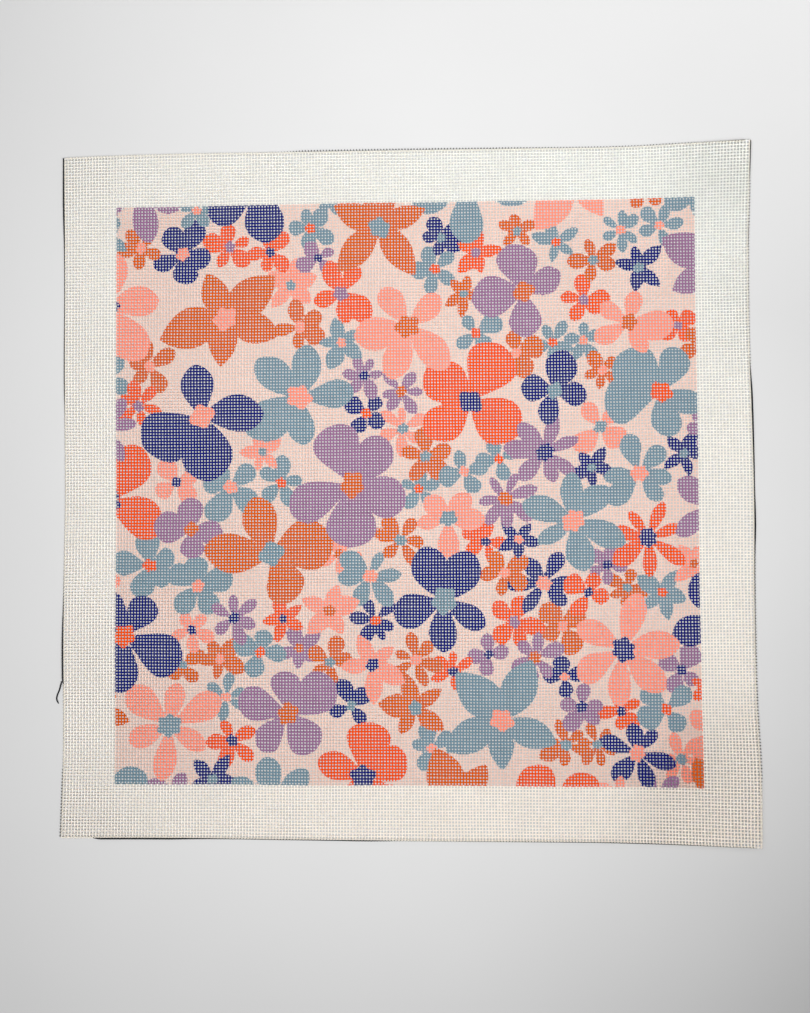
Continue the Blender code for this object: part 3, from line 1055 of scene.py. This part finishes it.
class NEEDLEPOINT_OT_loose_end(bpy.types.Operator):
    """Lay the loose end of the overlock thread beside the left edge"""

    bl_idname = "needlepoint.loose_end"
    bl_label = "Loose thread end"

    def execute(self, context):
        canvas = context.scene.needlepoint_canvas
        overlock = context.scene.needlepoint_overlock
        shape = PanelShape(canvas)
        at = np.linspace(0.0, len(TAIL_ROUTE) - 1.0, TAIL_POINTS)
        columns = []
        for column in range(3):
            rows = [(k, row[column]) for k, row in enumerate(TAIL_ROUTE)]
            columns.append(smooth_values(rows, at) * MM)
        outward, up, level = columns
        edge = shape.half_side + shape.bow("left", up / shape.half_side)
        radius = overlock.navy_thickness * TAIL_RADIUS
        x = -edge - outward - radius + shape.middle[0]
        path = np.stack([x, up + shape.middle[1], level + shape.raised(-edge, up)], axis=-1)
        navy = thread_material("spun polyester thread, loose", overlock.navy,
                               spread=0.25, roughness=0.6, sheen=0.05)
        taper = 1.0 - np.clip(at - at[-1] + TAPER_STEPS, 0.0, None) * TAPER_RATE
        item = ring_tube("thread_tail_loose", path, radius * taper, TAIL_SIDES, UP, navy)
        ready_piece(item, OVERLOCK_SLOT, "thread_tail")
        return {"FINISHED"}


def soft_light(scene, name, power, place, facing):
    """A round soft light at a place, turned towards a direction."""
    light = bpy.data.lights.new(name, "AREA")
    light.shape = "DISK"
    light.size = SOFT_LIGHT_SIZE
    light.energy = power
    item = bpy.data.objects.new(name, light)
    item.location = place
    item.rotation_euler = Vector(facing).to_track_quat("-Z", "Y").to_euler()
    scene.collection.objects.link(item)


class NEEDLEPOINT_OT_stage(bpy.types.Operator):
    """Set the floor, the soft light and the camera"""

    bl_idname = "needlepoint.stage"
    bl_label = "Stage"

    def execute(self, context):
        stage = context.scene.needlepoint_stage
        scene = context.scene
        corners = np.array([(-1.0, -1.0, 0.0), (1.0, -1.0, 0.0), (1.0, 1.0, 0.0), (-1.0, 1.0, 0.0)])
        floor = mesh_object("floor", corners * FLOOR_HALF, np.array([(0, 1, 2, 3)]), smooth=False)
        floor.data.materials.append(floor_material(stage))

        scene.world = bpy.data.worlds.new("studio")
        scene.world.use_nodes = True
        back = scene.world.node_tree.nodes["Background"]
        back.inputs["Color"].default_value = (1.0, 1.0, 1.0, 1.0)
        back.inputs["Strength"].default_value = stage.room_strength
        for name, power, place, facing in SOFT_LIGHTS:
            soft_light(scene, name, power * stage.light_level, place, facing)

        lens = bpy.data.cameras.new("camera")
        lens.sensor_fit = "HORIZONTAL"
        lens.sensor_width = SENSOR_WIDTH
        lens.lens = stage.focal_length
        camera = bpy.data.objects.new("camera", lens)
        camera.location = CAMERA_PLACE
        camera.rotation_euler = [math.radians(turn) for turn in CAMERA_TURN]
        scene.collection.objects.link(camera)
        scene.camera = camera
        scene.view_settings.view_transform = "Standard"
        return {"FINISHED"}


class NEEDLEPOINT_PT_panel(bpy.types.Panel):
    """The sidebar list of the panel's pieces and settings"""

    bl_idname = "NEEDLEPOINT_PT_panel"
    bl_label = "Needlepoint canvas"
    bl_space_type = "VIEW_3D"
    bl_region_type = "UI"
    bl_category = "Needlepoint"

    def draw(self, context):
        layout = self.layout
        for operator, groups in PANEL_ROWS:
            layout.operator(operator.bl_idname)
            for group in groups:
                settings = getattr(context.scene, group)
                for name in settings.__annotations__:
                    layout.prop(settings, name)


# Each operator in the sidebar, with the settings that stand under it
PANEL_ROWS = (
    (NEEDLEPOINT_OT_weave_canvas, ("needlepoint_canvas", "needlepoint_print")),
    (NEEDLEPOINT_OT_overlock_edges, ("needlepoint_overlock",)),
    (NEEDLEPOINT_OT_loose_end, ()),
    (NEEDLEPOINT_OT_stage, ("needlepoint_stage",)),
)
SETTINGS = {
    "needlepoint_canvas": CanvasSettings,
    "needlepoint_print": PrintSettings,
    "needlepoint_overlock": OverlockSettings,
    "needlepoint_stage": StageSettings,
}
CLASSES = (*SETTINGS.values(), *(row[0] for row in PANEL_ROWS), NEEDLEPOINT_PT_panel)


def register():
    """Register the classes and hang the settings on the scene."""
    for item in CLASSES:
        bpy.utils.register_class(item)
    for name, kind in SETTINGS.items():
        setattr(bpy.types.Scene, name, bpy.props.PointerProperty(type=kind))


def unregister():
    """Take the settings and the classes away again."""
    for name in SETTINGS:
        delattr(bpy.types.Scene, name)
    for item in reversed(CLASSES):
        bpy.utils.unregister_class(item)


def main():
    """Make the panel and its stage in order."""
    register()
    bpy.ops.needlepoint.weave_canvas()
    bpy.ops.needlepoint.overlock_edges()
    bpy.ops.needlepoint.loose_end()
    bpy.ops.needlepoint.stage()


if __name__ == "__main__":
    main()
